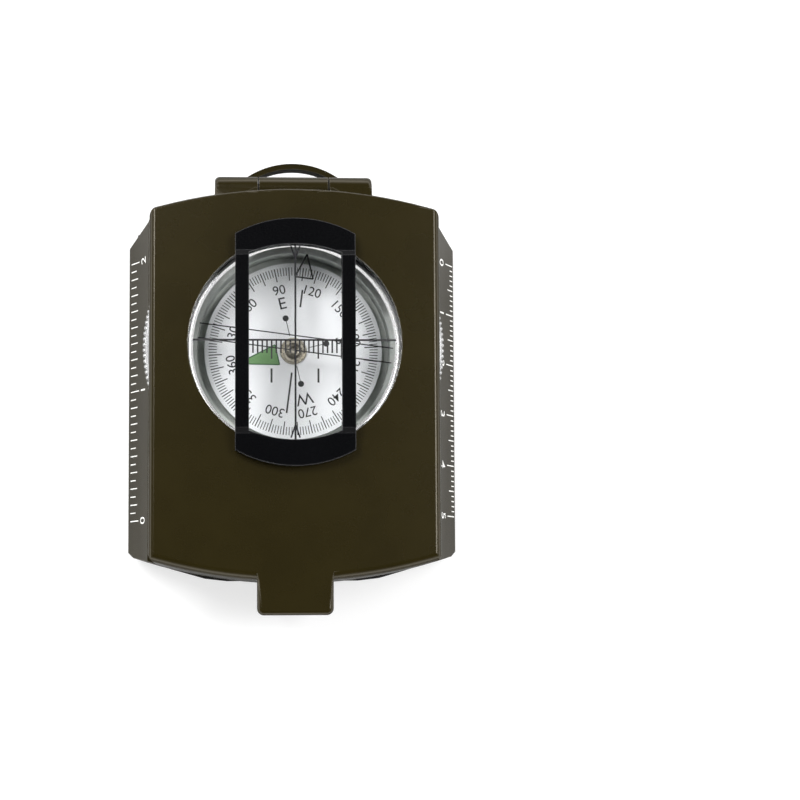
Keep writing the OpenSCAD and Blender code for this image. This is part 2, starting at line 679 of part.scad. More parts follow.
module lid_shell() color([0.2, 0.18, 0.11]) difference() {
    union() {
        difference() {
            union() {
                lid_outside();
                thumb_tab();
            }
            case_prism(lid_w / 2, lid_wall, z_lid - through, z_lid_in - z_lid + through, corner_r * 0.6);
            translate([0, 0, z_lid - through]) cylinder(r = bezel_r + part_gap, h = knurl_z + part_gap - z_lid + through);
            translate([0, 0, knurl_z + part_gap])
                cylinder(r1 = bezel_r + part_gap, r2 = shoulder_top_r + part_gap, h = shoulder_h);
            both_sides() translate([lid_w / 2 - 2 * lid_wall, 0, z_lid - through])
                rotate([90, 0, 90]) linear_extrude(3 * lid_wall) union() {
                    translate([-side_slot_half, 0]) square([2 * side_slot_half, side_slot_z - z_lid + through - side_slot_r]);
                    translate([-side_slot_half + side_slot_r, 0])
                        square([2 * (side_slot_half - side_slot_r), side_slot_z - z_lid + through]);
                    for (s = [-1, 1]) translate([s * (side_slot_half - side_slot_r), side_slot_z - z_lid + through - side_slot_r])
                        circle(r = side_slot_r, $fn = 48);
                }
            translate([-end_in + 0.1, y_hinge_end - 3, z_lid - through])
                cube([2 * end_in - 0.2, 4, hinge_z + barrel_r + 2 - z_lid + through]);
        }
        translate([0, 0, boss_z]) cylinder(r = boss_r, h = z_lid_in - boss_z + 0.2);
        both_sides() lid_knuckle();
    }
    translate([0, 0, boss_z - through]) cylinder(r = window_r, h = z_face - boss_z + 2 * through);
    translate([0, 0, boss_z - through]) cylinder(r = glass_r + seat_gap, h = z_lid_in - boss_z + through);
    for (sx = [-1, 1], sy = [-1, 1]) translate([sx * frame_screw_x, sy * frame_screw_y, boss_z - through]) {
        cylinder(r = frame_screw_r + seat_gap, h = z_face - boss_z + 2 * through);
        cylinder(r = frame_head_r + 0.1, h = pad_z - boss_z + through);
    }
    rod_x(hinge_pin_r + run_gap, -end_out - through, end_out - 0.7, hinge_y, hinge_z);
}

module window_glass() color([0.8, 0.9, 0.9, 0.35])
    translate([0, 0, window_glass_z]) cylinder(r = glass_r, h = window_glass_t);

module window_gasket() color([0.1, 0.1, 0.1]) ring(window_r, glass_r, window_gasket_z, gasket_t);

module window_retainer() color([0.3, 0.3, 0.3]) ring(window_r, glass_r, retainer_z, retainer_t);

// Plan of the sighting frame's outside or opening: straight sides, bowed ends
module bowed_plan(w, l, bow, bow_r) {
    side_half = l / 2 - bow;
    translate([-w / 2, -side_half]) square([w, 2 * side_half]);
    for (a = [0, 180]) rotate(a) intersection() {
        translate([0, l / 2 - bow_r]) circle(r = bow_r);
        translate([-w / 2, side_half - 0.01]) square([w, bow + 1]);
    }
}

module sight_frame() color([0.04, 0.04, 0.045]) difference() {
    intersection() {
        translate([0, 0, z_face]) linear_extrude(bar_top - z_face)
            bowed_plan(frame_w, frame_l, frame_bow, frame_arc_r);
        translate([-frame_w / 2 - 1, 0, 0]) rotate([90, 0, 90]) linear_extrude(frame_w + 2) polygon([
            [-frame_l / 2 - 1, z_face], [-foot_in, z_face], [-bar_l / 2, bar_z],
            [bar_l / 2, bar_z], [foot_in, z_face], [frame_l / 2 + 1, z_face],
            [frame_l / 2 + 1, block_z], [bar_l / 2 + step_l, block_z], [bar_l / 2, bar_top],
            [-bar_l / 2, bar_top], [-bar_l / 2 - step_l, block_z], [-frame_l / 2 - 1, block_z]
        ]);
    }
    translate([0, 0, z_face - through]) linear_extrude(bar_top - z_face + 2 * through)
        bowed_plan(slot_w, slot_l, slot_bow, slot_arc_r);
    for (sx = [-1, 1], sy = [-1, 1]) translate([sx * frame_screw_x, sy * frame_screw_y, z_face - through])
        cylinder(r = frame_screw_r + seat_gap, h = block_t - 0.9 + through);
    translate([0, slot_l / 2 + wire_sink + 0.1, wire_z]) rotate([90, 0, 0])
        cylinder(r = wire_r + seat_gap, h = slot_l + 2 * wire_sink + 0.2, $fn = 24);
}

module sight_wire() color([0.05, 0.05, 0.05]) {
    translate([0, slot_l / 2 + wire_sink, wire_z]) rotate([90, 0, 0])
        cylinder(r = wire_r, h = slot_l + 2 * wire_sink, $fn = 24);
    prong_r = wire_r * 0.8;
    prong_y = slot_l / 2 - 0.35;
    prong_a = atan(prong_x / prong_l);
    for (sx = [-1, 1], sy = [-1, 1]) translate([sx * prong_x, sy * prong_y, wire_z])
        rotate([sy * 90, 0, sx * sy * -prong_a])
            cylinder(r = prong_r, h = sqrt(pow(prong_x, 2) + pow(prong_l, 2)), $fn = 24);
}

module frame_screws() color([0.35, 0.35, 0.36])
    for (sx = [-1, 1], sy = [-1, 1]) translate([sx * frame_screw_x, sy * frame_screw_y, pad_z - 0.6]) {
        cylinder(r = frame_head_r, h = 0.6);
        cylinder(r = frame_screw_r, h = z_face + block_t - 1.1 - pad_z + 0.6);
    }

module bezel_ring() color([0.85, 0.85, 0.85]) difference() {
    union() {
        translate([0, 0, bezel_z]) cylinder(r = bezel_r, h = knurl_h, $fn = 180);
        translate([0, 0, knurl_z]) cylinder(r1 = shoulder_r, r2 = shoulder_top_r, h = shoulder_h, $fn = 180);
    }
    translate([0, 0, bezel_z - through]) cylinder(r = collar_r + run_gap, h = clamp_z - bezel_z + through);
    translate([0, 0, clamp_z - through]) cylinder(r = bezel_glass_r + seat_gap, h = lip_z - clamp_z + through);
    translate([0, 0, lip_z - through]) cylinder(r = bezel_open_r, h = bezel_top - lip_z + 2 * through);
    translate([0, 0, snap_z - 0.1]) cylinder(r = snap_out + 0.2, h = snap_h + 0.2);
}

module bezel_glass() color([0.8, 0.9, 0.9, 0.35])
    translate([0, 0, bezel_glass_z]) cylinder(r = bezel_glass_r, h = bezel_glass_t);

module bezel_glass_clamp() color([0.6, 0.6, 0.6])
    ring(bezel_glass_r - 1.4, bezel_glass_r, clamp_z, clamp_t);

module compass_card() color([0.85, 0.88, 0.85]) ring(cup_r, card_r, card_z, card_t);

module card_hub() color([0.6, 0.55, 0.4]) difference() {
    union() {
        translate([0, 0, card_z - cup_h]) cylinder(r = cup_r, h = cup_h + card_t);
        translate([0, 0, card_z + card_t]) cylinder(r = hub_r, h = hub_t);
    }
    translate([0, 0, card_z - cup_h - through]) cylinder(r = jewel_r + seat_gap, h = jewel_h + through);
}

module card_jewel() color([0.7, 0.1, 0.15]) translate([0, 0, card_z - cup_h]) difference() {
    cylinder(r = jewel_r, h = jewel_h);
    translate([0, 0, -0.02]) cylinder(r1 = 0.7, r2 = 0.12, h = jewel_h * 0.6 + 0.02);
}

module card_magnets() color([0.3, 0.3, 0.32]) both_sides()
    translate([magnet_x - magnet_w / 2, -magnet_l / 2, card_z - magnet_h]) cube([magnet_w, magnet_l, magnet_h]);

module eyepiece_housing() color([0.04, 0.04, 0.04]) difference() {
    union() {
        rod_x(eye_t / 2, -eye_half, eye_half, eye_pivot_y, eye_z);
        translate([-eye_half, eye_pivot_y - eye_t / 2, eye_z - eye_l]) cube([eye_w, eye_t, eye_l]);
    }
    rod_x(eye_pin_r + run_gap, -eye_half - through, eye_half + through, eye_pivot_y, eye_z);
    translate([0, eye_pivot_y + eye_t / 2 + through, lens_z]) rotate([90, 0, 0]) {
        cylinder(r = lens_r - lens_lip, h = eye_t + 2 * through);
        cylinder(r = lens_r + seat_gap, h = eye_t - 0.8 + through);
    }
    translate([-sight_notch_w / 2, eye_pivot_y - eye_t / 2 - through, eye_z - eye_l - through])
        cube([sight_notch_w, eye_t + 2 * through, 1 + through]);
}

module eyepiece_lens() color([0.8, 0.9, 0.95, 0.35])
    translate([0, eye_pivot_y - eye_t / 2 + 0.8, lens_z]) rotate([-90, 0, 0]) intersection() {
        cylinder(r = lens_r, h = lens_t);
        translate([0, 0, lens_t - lens_curve_r]) sphere(r = lens_curve_r);
        translate([0, 0, lens_curve_r]) sphere(r = lens_curve_r);
    }

module lens_ring() color([0.2, 0.2, 0.2])
    translate([0, eye_pivot_y - eye_t / 2 + 0.8 + lens_t, lens_z]) rotate([-90, 0, 0])
        ring(lens_r - lens_lip, lens_r, 0, lens_ring_t);

// Plan of the bail, drawn in by inset: a bow, two bends and straight legs
module bail_plan(inset) {
    half = bail_span / 2 + bail_t;
    bow_y = bail_y + bail_reach - bail_bow_r;
    bend_x = half - bail_bend_r;
    bend_y = bow_y + sqrt(pow(bail_bow_r - bail_bend_r, 2) - pow(bend_x, 2));
    bow_x = bend_x * (bail_bow_r - inset) / (bail_bow_r - bail_bend_r);
    intersection() {
        translate([0, bow_y]) circle(r = bail_bow_r - inset, $fn = big_fn);
        translate([-bow_x, bail_y - through]) square([2 * bow_x, bail_reach + 1]);
    }
    for (x = [-bend_x, bend_x]) translate([x, bend_y]) circle(r = bail_bend_r - inset, $fn = 48);
    translate([inset - half, bail_y - through]) square([2 * (half - inset), bend_y - bail_y + through]);
}

module bail() color([0.25, 0.23, 0.18]) {
    half = bail_span / 2 + bail_t;
    difference() {
        union() {
            translate([0, 0, bail_z - bail_w / 2]) linear_extrude(bail_w) intersection() {
                difference() {
                    bail_plan(0);
                    bail_plan(bail_t);
                }
                translate([-half - 1, bail_y]) square([2 * half + 2, bail_reach + 1]);
            }
            both_sides() rod_x(bail_w / 2, bail_span / 2, half, bail_y, bail_z);
        }
        both_sides() rod_x(bail_pin_r + run_gap, bail_span / 2 - bail_t, half + through, bail_y, bail_z);
    }
}

base_body();
bottom_cover();
cover_screws();
hinge_pin();
bail_pins();
capsule_bowl();
capsule_gasket();
capsule_glass();
capsule_lock_ring();
pivot_post();
bezel_snap_ring();
eyepiece_bracket();
bracket_screws();
eyepiece_pin();
level_body();
level_vial();
level_screws();
lid_shell();
window_glass();
window_gasket();
window_retainer();
sight_frame();
sight_wire();
frame_screws();
bezel_ring();
bezel_glass();
bezel_glass_clamp();
compass_card();
card_hub();
card_jewel();
card_magnets();
eyepiece_housing();
eyepiece_lens();
lens_ring();
bail();
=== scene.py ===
# The compass from model.glb: its solids and bodies, in metres. +Y is the
# hinge end, +Z is up out of the lid, +X is the side with the centimetre scale.
import math

import bmesh
import bpy
from mathutils import Matrix, Vector


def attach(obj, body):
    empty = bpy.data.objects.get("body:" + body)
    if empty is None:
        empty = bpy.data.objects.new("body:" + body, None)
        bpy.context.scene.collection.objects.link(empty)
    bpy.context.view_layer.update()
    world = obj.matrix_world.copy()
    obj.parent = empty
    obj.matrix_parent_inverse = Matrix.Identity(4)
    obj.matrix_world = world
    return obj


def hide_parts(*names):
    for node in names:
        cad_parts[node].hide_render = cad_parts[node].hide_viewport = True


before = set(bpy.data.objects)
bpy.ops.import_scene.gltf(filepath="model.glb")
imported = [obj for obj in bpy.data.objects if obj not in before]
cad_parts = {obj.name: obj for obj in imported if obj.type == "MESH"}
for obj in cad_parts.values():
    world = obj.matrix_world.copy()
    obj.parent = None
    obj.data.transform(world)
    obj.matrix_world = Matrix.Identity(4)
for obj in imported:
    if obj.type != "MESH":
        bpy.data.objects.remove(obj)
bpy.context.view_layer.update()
MM = 0.001


# Camera: it looks down on the lid from the latch end, a little from the inch
# scale's side, with the compass to the left of the middle of the view.
CAMERA_SPOT = Vector((-11.75, -53.04, 460.5)) * MM
CAMERA_AIM = Vector((21.7, -8.4, 0)) * MM
CAMERA_TOP = Vector((0.006, 1, 0))
camera_data = bpy.data.cameras.new("camera")
camera_data.sensor_width = 36
camera_data.lens = 104
camera = bpy.data.objects.new("camera", camera_data)
bpy.context.scene.collection.objects.link(camera)
camera_look = (CAMERA_AIM - CAMERA_SPOT).normalized()
camera_right = camera_look.cross(CAMERA_TOP).normalized()
camera_up = camera_right.cross(camera_look)
camera.matrix_world = (
    Matrix.Translation(CAMERA_SPOT)
    @ Matrix((camera_right, camera_up, -camera_look)).transposed().to_4x4()
)
bpy.context.scene.camera = camera


# Lid: a pressure die casting in olive baked paint, with a thumb tab at the
# latch end and two hinge barrels. The tab's upper rim and the barrels' outer
# ends are well rounded. Its edges are painted lighter, partly as rubbed paint
# and partly as a painted highlight.
LID_EDGE = 0.12 * MM
LID_TOP = 25.6
TAB_HALF = 7.2
TAB_TIP = -51.4
TAB_CORNER = 1.3
TAB_ROOT = -43.6
TAB_ROUND = 0.85
BARREL_END = 15.3
BARREL_R = 2.3
BARREL_ROUND = 0.9
HINGE_RIM_LOW = 25.1
HINGE_RIM_Y = 26.8
HINGE_AXIS = (31.6, 14.4)
JOIN_GAP = 0.002 * MM
FLAT_TURN = 0.05
EASED_TURN = 28
EASED_STEPS = 2
RIM_STEPS = 4
RIM_CUT = 0.001 * MM
RIM_SLACK = 0.1
OUTLINE_SLACK = 0.03
LEVEL_SLACK = 0.01
FLAT_RISE = 0.001
CLOUD = 9 * MM
SKIN = 0.16 * MM
SKIN_DEPTH = 0.01 * MM
RUB_AND_HIGHLIGHT_WIDTH = 0.28 * MM
GLOSS_SPREAD = 0.06


def new_piece(name, form, material):
    """Turns a bmesh into a named piece with one material."""
    mesh = bpy.data.meshes.new(name)
    form.to_mesh(mesh)
    form.free()
    mesh.materials.append(material)
    piece = bpy.data.objects.new(name, mesh)
    bpy.context.scene.collection.objects.link(piece)
    return piece


def smooth_piece(piece, angle=32):
    """Shades a piece smooth, with sharp edges where its faces turn hard."""
    piece.data.shade_smooth()
    piece.data.set_sharp_from_angle(angle=math.radians(angle))
    level = piece.modifiers.new("even shading", "WEIGHTED_NORMAL")
    level.keep_sharp = True
    level.weight = 100
    return piece


def bevel_edges(form, edges, width):
    """Rounds some edges of a form."""
    bmesh.ops.bevel(
        form, geom=edges, offset=width, offset_type="OFFSET", segments=EASED_STEPS,
        profile=0.5, affect="EDGES", clamp_overlap=True, material=-1,
    )


def sharp_edges(form):
    """Edges that turn hard enough to be eased."""
    hard = math.radians(EASED_TURN)
    return [e for e in form.edges if e.is_manifold and e.calc_face_angle(0) > hard]


def rim_rounded(form, axis, face, radius, core, reach, chosen):
    """Rounds the rim of a flat face whose outline keeps a constant reach from a core."""
    for step in range(RIM_STEPS):
        level = face - radius * (1 - math.sin(math.radians(90 / RIM_STEPS * step)))
        near = [f for f in form.faces if any(chosen(v.co / MM) for v in f.verts)]
        parts = set(near) | {e for f in near for e in f.edges} | {v for f in near for v in f.verts}
        bmesh.ops.bisect_plane(
            form, geom=list(parts), dist=RIM_CUT, plane_co=axis * level * MM, plane_no=axis
        )
    for vertex in form.verts:
        spot = vertex.co / MM
        height = min((spot.dot(axis) - face) / radius + 1, 1)
        out = spot - core(spot)
        if chosen(spot) and height > 0 and abs(out.length - reach) < OUTLINE_SLACK:
            shrink = radius * (1 - math.sqrt(1 - height * height))
            vertex.co = (spot - out.normalized() * shrink) * MM


def eased_copy(node, name, edge, material, rounder=None):
    """A solid's mesh, joined, with its edges eased; the rounder shapes some of them first."""
    form = bmesh.new()
    form.from_mesh(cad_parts[node].data)
    bmesh.ops.remove_doubles(form, verts=form.verts, dist=JOIN_GAP)
    if rounder:
        rounder(form)
    bmesh.ops.dissolve_limit(
        form, angle_limit=math.radians(FLAT_TURN), verts=form.verts, edges=form.edges
    )
    bevel_edges(form, sharp_edges(form), edge)
    return smooth_piece(new_piece(name, form, material))


def tab_core(spot):
    """The nearest point of the tab's core line, at the same height."""
    inner = TAB_HALF - TAB_CORNER
    return Vector((max(-inner, min(inner, spot.x)), max(TAB_TIP + TAB_CORNER, spot.y), spot.z))


def on_tab(spot):
    """Whether a point is on the tab's upper half."""
    raised = spot.z > LID_TOP - TAB_ROUND - RIM_SLACK
    return raised and spot.y < TAB_ROOT and abs(spot.x) < TAB_HALF + RIM_SLACK / 2


def hinge_core(spot):
    """The nearest point of the hinge axis."""
    return Vector((spot.x, *HINGE_AXIS))


def on_barrel_end(spot):
    """Whether a point is at the outer end of a hinge barrel."""
    outer = abs(spot.x) > BARREL_END - BARREL_ROUND - RIM_SLACK
    return outer and (spot - hinge_core(spot)).length < BARREL_R + RIM_SLACK


def in_hinge_rim(face):
    """Whether a face is in the rounded rim of the lid's hinge end."""
    heights = [v.co.z / MM for v in face.verts]
    if min(heights) <= HINGE_RIM_LOW - LEVEL_SLACK or max(heights) - min(heights) <= FLAT_RISE:
        return False
    return min(v.co.y for v in face.verts) / MM > HINGE_RIM_Y


def hinge_rim_evened(form):
    """Turns the edges inside the rounded rim at the hinge end so that it curves evenly."""
    bmesh.ops.triangulate(form, faces=[f for f in form.faces if in_hinge_rim(f)])
    rim_faces = [f for f in form.faces if in_hinge_rim(f)]
    inside = set(rim_faces)
    turning = [e for e in form.edges if len(e.link_faces) == 2 and set(e.link_faces) <= inside]
    bmesh.ops.beautify_fill(form, faces=rim_faces, edges=turning, method="ANGLE")


def lid_rounding(form):
    """Rounds the thumb tab's upper rim and the hinge barrels' outer ends."""
    hinge_rim_evened(form)
    up = Vector((0, 0, 1))
    right = Vector((1, 0, 0))
    rim_rounded(form, up, LID_TOP, TAB_ROUND, tab_core, TAB_CORNER, on_tab)
    for side in (right, -right):
        rim_rounded(form, side, BARREL_END, BARREL_ROUND, hinge_core, BARREL_R, on_barrel_end)


def finish_nodes(name):
    """A new material, its nodes, its links and its main shader."""
    material = bpy.data.materials.new(name)
    material.use_nodes = True
    nodes = material.node_tree.nodes
    return material, nodes, material.node_tree.links, nodes["Principled BSDF"]


def ramp(nodes, links, source, stops):
    """A colour ramp fed by a socket; stops are (place, colour) pairs."""
    node = nodes.new("ShaderNodeValToRGB")
    while len(node.color_ramp.elements) < len(stops):
        node.color_ramp.elements.new(0.5)
    for element, (place, colour) in zip(node.color_ramp.elements, stops):
        element.position = place
        element.color = (*colour, 1)
    links.new(source, node.inputs["Fac"])
    return node.outputs["Color"]


def noise(nodes, links, size, detail=4):
    """Noise in object space whose patches are about size metres across."""
    place = nodes.new("ShaderNodeTexCoord")
    node = nodes.new("ShaderNodeTexNoise")
    node.inputs["Scale"].default_value = 1 / size
    node.inputs["Detail"].default_value = detail
    node.inputs["Roughness"].default_value = 0.55
    links.new(place.outputs["Object"], node.inputs["Vector"])
    return node.outputs["Fac"]


def roughened(nodes, links, shader, height, strength, depth):
    """Bump on a shader from a height socket."""
    bump = nodes.new("ShaderNodeBump")
    bump.inputs["Strength"].default_value = strength
    bump.inputs["Distance"].default_value = depth
    links.new(height, bump.inputs["Height"])
    links.new(bump.outputs["Normal"], shader.inputs["Normal"])


def grey(tone):
    """A neutral colour of one tone."""
    return (tone, tone, tone)


def baked_paint(name, dark, light, worn_and_highlight, gloss, shine, tint):
    """Baked paint: cloudy colour, orange-peel skin, and lighter outer edges that are partly rubbed
    paint and partly a painted highlight.
    """
    material, nodes, links, shader = finish_nodes(name)
    cloud = ramp(nodes, links, noise(nodes, links, CLOUD, 3), [(0.3, dark), (0.75, light)])
    # Sharp edges get a lighter colour: partly rubbed paint, partly a painted highlight.
    rounded = nodes.new("ShaderNodeBevel")
    rounded.samples = 4
    rounded.inputs["Radius"].default_value = RUB_AND_HIGHLIGHT_WIDTH
    flat = nodes.new("ShaderNodeNewGeometry")
    turn = nodes.new("ShaderNodeVectorMath")
    turn.operation = "DOT_PRODUCT"
    links.new(rounded.outputs["Normal"], turn.inputs[0])
    links.new(flat.outputs["Normal"], turn.inputs[1])
    rubbed_and_highlit = ramp(nodes, links, turn.outputs["Value"], [(0.8, grey(1)), (0.97, grey(0))])
    mix = nodes.new("ShaderNodeMix")
    mix.data_type = "RGBA"
    mix.inputs["B"].default_value = (*worn_and_highlight, 1)
    links.new(rubbed_and_highlit, mix.inputs["Factor"])
    links.new(cloud, mix.inputs["A"])
    links.new(mix.outputs["Result"], shader.inputs["Base Color"])
    skin = noise(nodes, links, SKIN, 2)
    hollows = (0.2, grey(gloss - GLOSS_SPREAD))
    swells = (0.8, grey(gloss + GLOSS_SPREAD))
    links.new(ramp(nodes, links, skin, [hollows, swells]), shader.inputs["Roughness"])
    shader.inputs["Specular IOR Level"].default_value = shine
    shader.inputs["Specular Tint"].default_value = (*tint, 1)
    roughened(nodes, links, shader, skin, 0.3, SKIN_DEPTH)
    return material


# The lighter edge colour is partly wear and partly a painted highlight.
olive_paint = baked_paint(
    "olive_paint", dark=(0.0128, 0.0094, 0.0012), light=(0.0158, 0.0118, 0.0019),
    worn_and_highlight=(0.09, 0.08, 0.06), gloss=0.2, shine=0.35, tint=(1, 0.92, 0.78),
)
lid = eased_copy("lid_shell", "lid_casting", LID_EDGE, olive_paint, lid_rounding)
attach(lid, "lid")
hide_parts("lid_shell")


# Sighting frame: a black painted steel pressing that bridges the lid window,
# held by four screws from inside. Its long edges are painted bright in places,
# partly as rubbed paint and partly as a painted highlight.
FRAME_EDGE = 0.14 * MM
black_paint = baked_paint(
    "black_paint", dark=(0.001, 0.0011, 0.0015), light=(0.0016, 0.0018, 0.0023),
    worn_and_highlight=(0.08, 0.08, 0.082), gloss=0.27, shine=0.05, tint=(1, 1, 1),
)
sight_frame = eased_copy("sight_frame", "sight_frame_pressing", FRAME_EDGE, black_paint)
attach(sight_frame, "lid")
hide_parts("sight_frame")


# Sighting wire: blackened spring wire with a three-pronged soldered end at
# each side of the frame's opening. The frame's screws are darkened steel.
GRAIN_DEPTH = 0.003 * MM


def brushed_metal(name, dark, light, rough, stretch, size=0.25 * MM, spread=0.07):
    """Bare metal whose fine grain is drawn out along one axis."""
    material, nodes, links, shader = finish_nodes(name)
    place = nodes.new("ShaderNodeTexCoord")
    draw = nodes.new("ShaderNodeMapping")
    draw.inputs["Scale"].default_value = stretch
    grain = nodes.new("ShaderNodeTexNoise")
    grain.inputs["Scale"].default_value = 1 / size
    grain.inputs["Detail"].default_value = 4
    links.new(place.outputs["Object"], draw.inputs["Vector"])
    links.new(draw.outputs["Vector"], grain.inputs["Vector"])
    fac = grain.outputs["Fac"]
    links.new(ramp(nodes, links, fac, [(0.3, dark), (0.7, light)]), shader.inputs["Base Color"])
    dull = [(0.3, grey(rough - spread)), (0.7, grey(rough + spread))]
    links.new(ramp(nodes, links, fac, dull), shader.inputs["Roughness"])
    shader.inputs["Metallic"].default_value = 1
    roughened(nodes, links, shader, fac, 4 * spread, GRAIN_DEPTH)
    return material


def finish_node(node, material):
    """Gives a kept solid a new finish."""
    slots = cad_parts[node].data.materials
    slots.clear()
    slots.append(material)


black_wire = brushed_metal(
    "black_wire", (0.012, 0.012, 0.013), (0.03, 0.03, 0.032), rough=0.4, stretch=(1, 0.15, 1)
)
finish_node("sight_wire", black_wire)
dark_steel = brushed_metal(
    "dark_steel", (0.13, 0.13, 0.135), (0.3, 0.3, 0.31), rough=0.36, stretch=(1, 1, 0.2)
)
finish_node("frame_screws", dark_steel)


# Lid window: a clear glass disc with a black printed range scale, on a
# rubber gasket, held from inside by a blackened ring.
GLASS_TINT = (0.05, 0.07, 0.065)
GLASS_HEAD_ON = 0.006
GLASS_EDGE_ON = 0.4
GLASS_SMEAR = 6 * MM
INK_PATCH = 0.12 * MM
RANGE_Z = 24.23
RANGE_Y = 0.7
RANGE_HALF = 19.3
RANGE_LINE = 0.36
RANGE_STEP = 0.885
RANGE_MARKS = 10
RANGE_MARK_WIDTH = 0.3
RANGE_SHORT = 2.5
RANGE_LONG = 3.6
RANGE_DASH_AT = (4.45, 6.8)
RANGE_DASH_WIDTH = 0.38
RANGE_DASH_LENGTH = 2.7


def clear_glass(name, tint, head_on=GLASS_HEAD_ON, edge_on=GLASS_EDGE_ON):
    """Thin polished glass that is clear head-on and shines edge-on."""
    material, nodes, links, shader = finish_nodes(name)
    smear = noise(nodes, links, GLASS_SMEAR, 3)
    tones = [(0.35, tint), (0.7, tuple(0.8 * c for c in tint))]
    links.new(ramp(nodes, links, smear, tones), shader.inputs["Base Color"])
    wiped = [(0.4, grey(0.015)), (0.8, grey(0.06))]
    links.new(ramp(nodes, links, smear, wiped), shader.inputs["Roughness"])
    shader.inputs["IOR"].default_value = 1.45
    lean = nodes.new("ShaderNodeLayerWeight")
    lean.inputs["Blend"].default_value = 0.35
    cover = [(0.4, grey(head_on)), (0.95, grey(edge_on))]
    links.new(ramp(nodes, links, lean.outputs["Facing"], cover), shader.inputs["Alpha"])
    return material


def mottled(name, dark, light, patch, rough, bump=0, depth=0, detail=4, stops=(0.3, 0.7)):
    """A plain finish whose colour varies a little in patches of one size."""
    material, nodes, links, shader = finish_nodes(name)
    patches = noise(nodes, links, patch, detail)
    colours = ramp(nodes, links, patches, list(zip(stops, (dark, light))))
    links.new(colours, shader.inputs["Base Color"])
    shader.inputs["Roughness"].default_value = rough
    if bump:
        roughened(nodes, links, shader, patches, bump, depth)
    return material


def ink(name, dark, light):
    """Printed ink with slightly uneven cover."""
    return mottled(name, dark, light, INK_PATCH, 0.55, detail=3, stops=(0.35, 0.6))


def strip(form, spot, width, length):
    """Adds a flat printed strip, in millimetres: width along x, length along y of its spot."""
    bmesh.ops.create_grid(
        form, x_segments=1, y_segments=1, size=0.5,
        matrix=spot @ Matrix.Diagonal((width * MM, length * MM, 1, 1)),
    )


def at(x, y, z, turn=0):
    """A place in millimetres, turned about the upright axis by degrees."""
    return Matrix.Translation(Vector((x, y, z)) * MM) @ Matrix.Rotation(math.radians(turn), 4, "Z")


def printed(name, form, material, body):
    """A printed pattern as a thin skin that moves with a body."""
    piece = new_piece(name, form, material)
    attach(piece, body)
    return piece


finish_node("window_glass", clear_glass("window_glass", GLASS_TINT))
gasket_rubber = mottled(
    "gasket_rubber", grey(0.008), grey(0.02), patch=0.4 * MM, rough=0.75,
    bump=0.3, depth=0.01 * MM, detail=3,
)
finish_node("window_gasket", gasket_rubber)
finish_node("window_retainer", black_paint)
black_ink = ink("black_ink", grey(0.003), (0.01, 0.01, 0.012))
form = bmesh.new()
strip(form, at(0, RANGE_Y, RANGE_Z), 2 * RANGE_HALF, RANGE_LINE)
for mark in range(-RANGE_MARKS, RANGE_MARKS + 1):
    drop = RANGE_LONG if mark % 5 == 0 else RANGE_SHORT
    if mark != 0:
        strip(form, at(mark * RANGE_STEP, RANGE_Y - drop / 2, RANGE_Z), RANGE_MARK_WIDTH, drop)
for side in (-1, 1):
    dash_spot = at(side * RANGE_DASH_AT[0], RANGE_Y - RANGE_DASH_AT[1], RANGE_Z)
    strip(form, dash_spot, RANGE_DASH_WIDTH, RANGE_DASH_LENGTH)
printed("range_scale", form, black_ink, "lid")


# Bezel: a silver ring turned from aluminium and straight-knurled round its
# rim, with a rounded shoulder and a polished lip round its glass.
KNURLS = 168
KNURL_FACETS = 3
KNURL_DEPTH = 0.42
KNURL_ROOT = 28.8
KNURL_LOW = 14.75
KNURL_HIGH = 18.05
SEAM_GAP = 0.001 * MM
BEZEL_PROFILE = [
    (24.05, 14.62), (28.55, 14.62), (28.9, 14.95), (29, 15.15), (29, 17.65), (28.9, 17.85),
    (28.55, 18.18), (28.2, 18.2), (28.2, 18.42), (28.45, 18.5), (28.5, 18.8), (28.25, 19.2),
    (27.8, 19.46), (27.2, 19.58), (20.35, 19.6), (19.9, 19.52), (19.42, 19.15), (19.42, 18.92),
    (22.9, 18.92), (22.95, 17.5), (24.05, 17.5), (24.05, 16.92), (24.85, 16.92),
    (24.85, 15.9), (24.05, 15.9),
]
turned_silver = brushed_metal(
    "turned_silver", grey(0.7), grey(0.78), rough=0.26, stretch=(1, 1, 6),
    size=0.4 * MM, spread=0.01,
)


def turned(form, corners, centre, axis, steps, closed=True):
    """Turns a line of corners, in millimetres, once round an axis into a form."""
    verts = [form.verts.new(corner * MM) for corner in corners]
    ends = verts[1:] + verts[:1] if closed else verts[1:]
    edges = [form.edges.new(pair) for pair in zip(verts, ends)]
    bmesh.ops.spin(
        form, geom=verts + edges, cent=centre * MM, axis=axis, angle=math.tau,
        steps=steps, use_merge=True,
    )
    bmesh.ops.remove_doubles(form, verts=form.verts, dist=SEAM_GAP)
    bmesh.ops.recalc_face_normals(form, faces=form.faces)


form = bmesh.new()
corners = [Vector((radius, 0, z)) for radius, z in BEZEL_PROFILE]
turned(form, corners, Vector((0, 0, 0)), (0, 0, 1), KNURLS * KNURL_FACETS)
for vertex in form.verts:
    radius = vertex.co.xy.length / MM
    if radius > KNURL_ROOT and KNURL_LOW < vertex.co.z / MM < KNURL_HIGH:
        turn = math.atan2(vertex.co.y, vertex.co.x) / math.tau
        if round(turn * KNURLS * KNURL_FACETS) % KNURL_FACETS == 0:
            shrink = 1 - KNURL_DEPTH / radius
            vertex.co.x *= shrink
            vertex.co.y *= shrink
bezel = smooth_piece(new_piece("bezel_turning", form, turned_silver), 24)
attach(bezel, "bezel")
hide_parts("bezel_ring")
finish_node("bezel_glass_clamp", turned_silver)
ground_steel = brushed_metal(
    "ground_steel", (0.42, 0.42, 0.43), (0.62, 0.62, 0.63), rough=0.28, stretch=(0.1, 1, 1)
)
finish_node("bezel_snap_ring", ground_steel)


